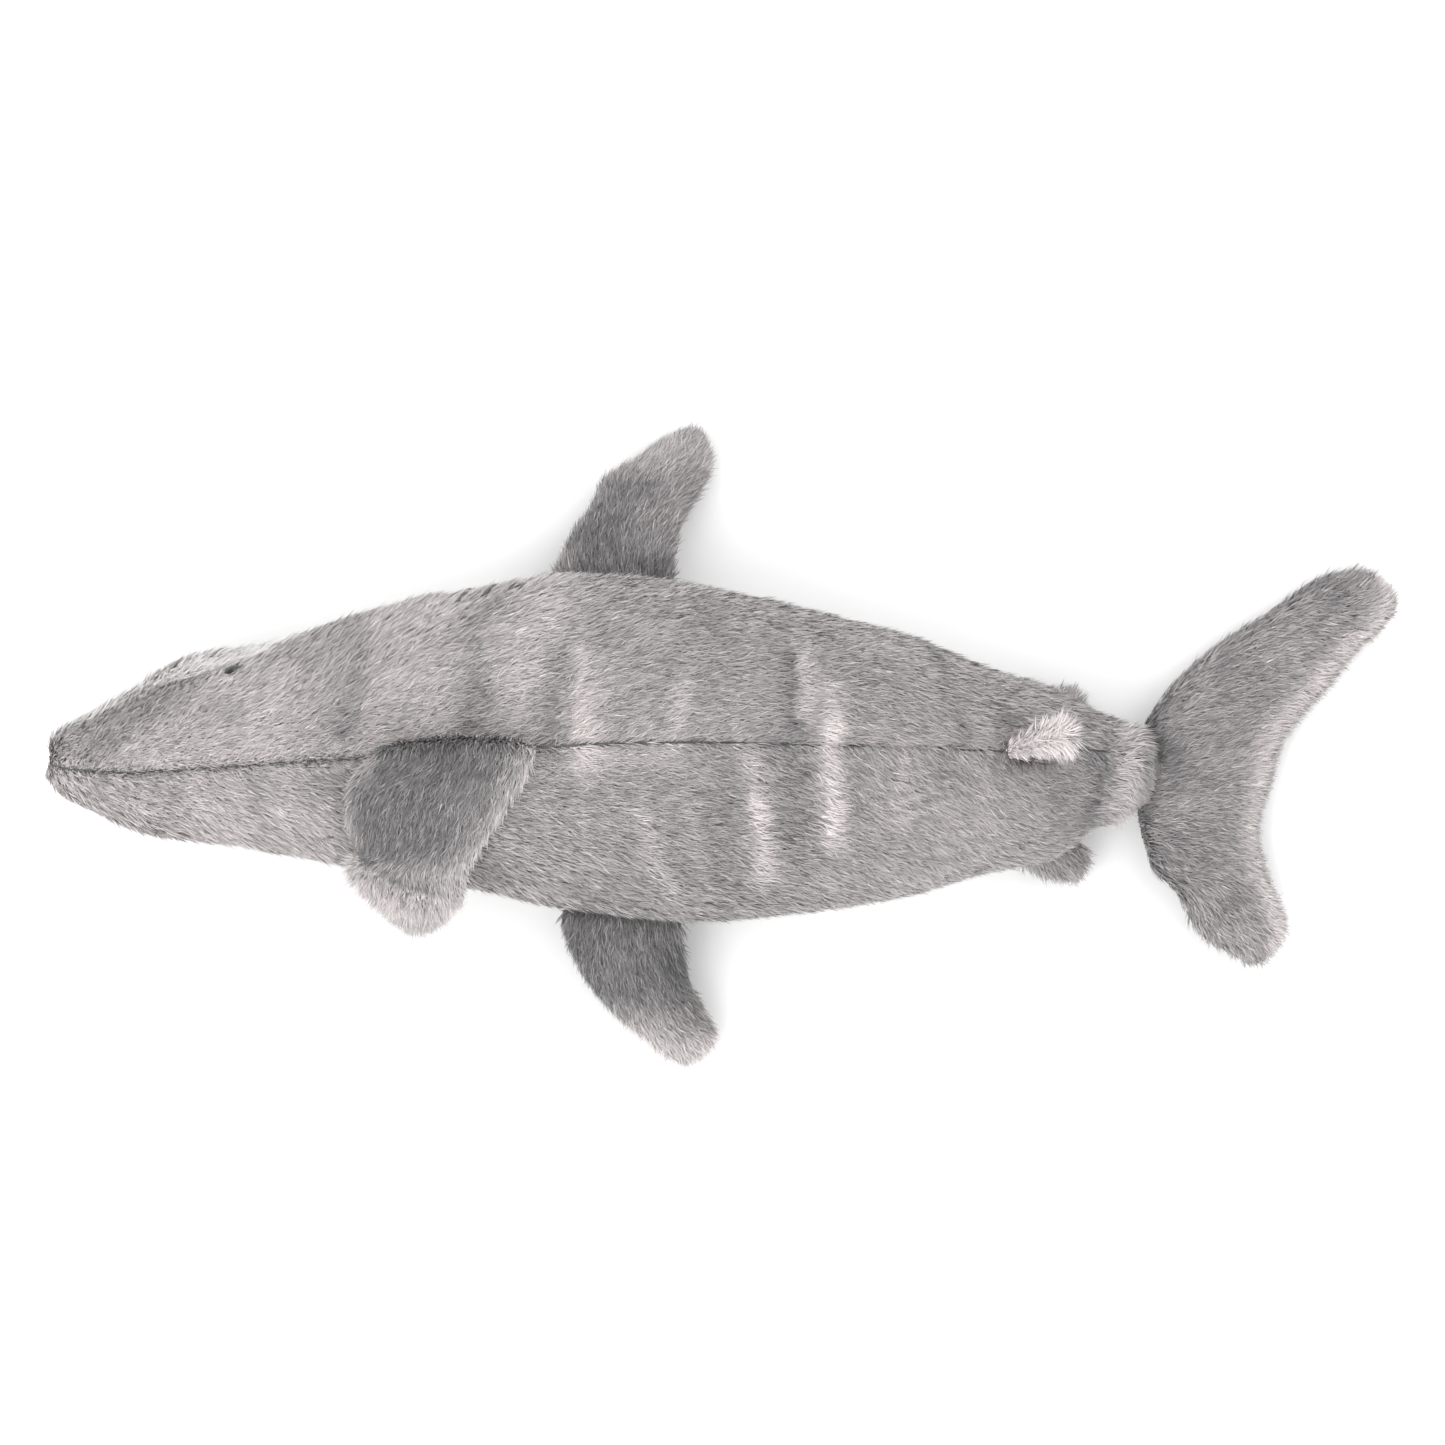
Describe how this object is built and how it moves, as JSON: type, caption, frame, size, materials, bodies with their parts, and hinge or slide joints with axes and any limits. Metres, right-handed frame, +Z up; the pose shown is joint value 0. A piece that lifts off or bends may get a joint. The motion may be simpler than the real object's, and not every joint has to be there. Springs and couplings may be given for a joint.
{
  "type": "plush shark",
  "caption": "Soft plush shark lying on its belly, grey back and white belly, with floppy fins and a tail fin rolled flat.",
  "frame": {"origin": "middle of the flat underside that the toy rests on", "axes": "+X from the snout to the tail, +Y to the shark's right, +Z up out of its back"},
  "size_m": [0.5375, 0.2588, 0.1202],
  "materials": {
    "grey_plush": "soft short pile with a silky nap",
    "white_plush": "soft short pile",
    "filling": "loose polyester fibre",
    "eye_black": "polished black dome",
    "washer_plastic": "moulded",
    "dark_thread": "satin embroidery"
  },
  "bodies": {
    "head": {"head_back_panel_right": "grey_plush", "head_back_panel_left": "grey_plush", "head_belly_panel": "white_plush", "head_filling": "filling", "eye_right": "eye_black", "eye_washer_right": "washer_plastic", "eye_left": "eye_black", "eye_washer_left": "washer_plastic", "mouth_stitch": "dark_thread"},
    "trunk": {"trunk_back_panel_right": "grey_plush", "trunk_back_panel_left": "grey_plush", "trunk_belly_panel": "white_plush", "trunk_filling": "filling", "gill_stitch_right_front": "dark_thread", "gill_stitch_right_middle": "dark_thread", "gill_stitch_right_rear": "dark_thread", "gill_stitch_left_front": "dark_thread", "gill_stitch_left_middle": "dark_thread", "gill_stitch_left_rear": "dark_thread"},
    "tail_stalk": {"tail_stalk_back_panel_right": "grey_plush", "tail_stalk_back_panel_left": "grey_plush", "tail_stalk_belly_panel": "white_plush", "tail_stalk_filling": "filling"},
    "tail_collar": {"tail_collar_skin": "grey_plush", "tail_collar_filling": "filling"},
    "tail_fin": {"tail_fin_left_panel": "grey_plush", "tail_fin_right_panel": "grey_plush", "tail_fin_filling": "filling"},
    "dorsal_fin": {"dorsal_fin_right_panel": "grey_plush", "dorsal_fin_left_panel": "grey_plush", "dorsal_fin_filling": "filling"},
    "second_dorsal_fin": {"second_dorsal_fin_left_panel": "grey_plush", "second_dorsal_fin_right_panel": "grey_plush", "second_dorsal_fin_filling": "filling"},
    "pectoral_fin_right": {"pectoral_fin_right_top_panel": "grey_plush", "pectoral_fin_right_bottom_panel": "grey_plush", "pectoral_fin_right_filling": "filling"},
    "pectoral_fin_left": {"pectoral_fin_left_top_panel": "grey_plush", "pectoral_fin_left_bottom_panel": "grey_plush", "pectoral_fin_left_filling": "filling"},
    "pelvic_fin_right": {"pelvic_fin_right_top_panel": "grey_plush", "pelvic_fin_right_bottom_panel": "grey_plush", "pelvic_fin_right_filling": "filling"},
    "pelvic_fin_left": {"pelvic_fin_left_top_panel": "grey_plush", "pelvic_fin_left_bottom_panel": "grey_plush", "pelvic_fin_left_filling": "filling"}
  },
  "joints": [
    {"name": "head_bend", "type": "hinge", "parent": "trunk", "child": "head", "pos_m": [-0.13, 0.00258, 0.045], "axis": [0, 0, 1], "range_deg": [-15, 15]},
    {"name": "tail_bend", "type": "hinge", "parent": "trunk", "child": "tail_stalk", "pos_m": [0.084, -0.00792, 0.04], "axis": [0, 0, 1], "range_deg": [-20, 20]},
    {"name": "tail_twist", "type": "hinge", "parent": "tail_stalk", "child": "tail_collar", "pos_m": [0.168, -0.01, 0.02], "axis": [1, 0, 0], "range_deg": [0, 180]},
    {"name": "tail_flap", "type": "hinge", "parent": "tail_collar", "child": "tail_fin", "pos_m": [0.184, -0.01, 0.02], "axis": [0, 1, 0], "range_deg": [-45, 45]},
    {"name": "dorsal_fin_flop", "type": "hinge", "parent": "trunk", "child": "dorsal_fin", "pos_m": [-0.131, -0.004, 0.1055], "axis": [-0.9842, -0.0344, -0.1736], "range_deg": [0, 165]},
    {"name": "second_dorsal_fin_flop", "type": "hinge", "parent": "tail_stalk", "child": "second_dorsal_fin", "pos_m": [0.119, -0.002, 0.077], "axis": [0.9336, 0, -0.3584], "range_deg": [-50, 50], "stiffness_Nm_per_rad": 0.02},
    {"name": "pectoral_fin_right_flap", "type": "hinge", "parent": "trunk", "child": "pectoral_fin_right", "pos_m": [-0.06, 0.069, 0.03], "axis": [0.9981, -0.061, 0], "range_deg": [-30, 55]},
    {"name": "pectoral_fin_left_flap", "type": "hinge", "parent": "trunk", "child": "pectoral_fin_left", "pos_m": [-0.06, -0.0675, 0.03], "axis": [-0.9981, 0.061, 0], "range_deg": [-30, 55]},
    {"name": "pelvic_fin_right_flap", "type": "hinge", "parent": "tail_stalk", "child": "pelvic_fin_right", "pos_m": [0.127, 0.017, 0.0094], "axis": [0.9744, -0.225, 0], "range_deg": [-25, 25]},
    {"name": "pelvic_fin_left_flap", "type": "hinge", "parent": "tail_stalk", "child": "pelvic_fin_left", "pos_m": [0.127, -0.0455, 0.018], "axis": [-0.9744, -0.225, 0], "range_deg": [-25, 40]}
  ]
}
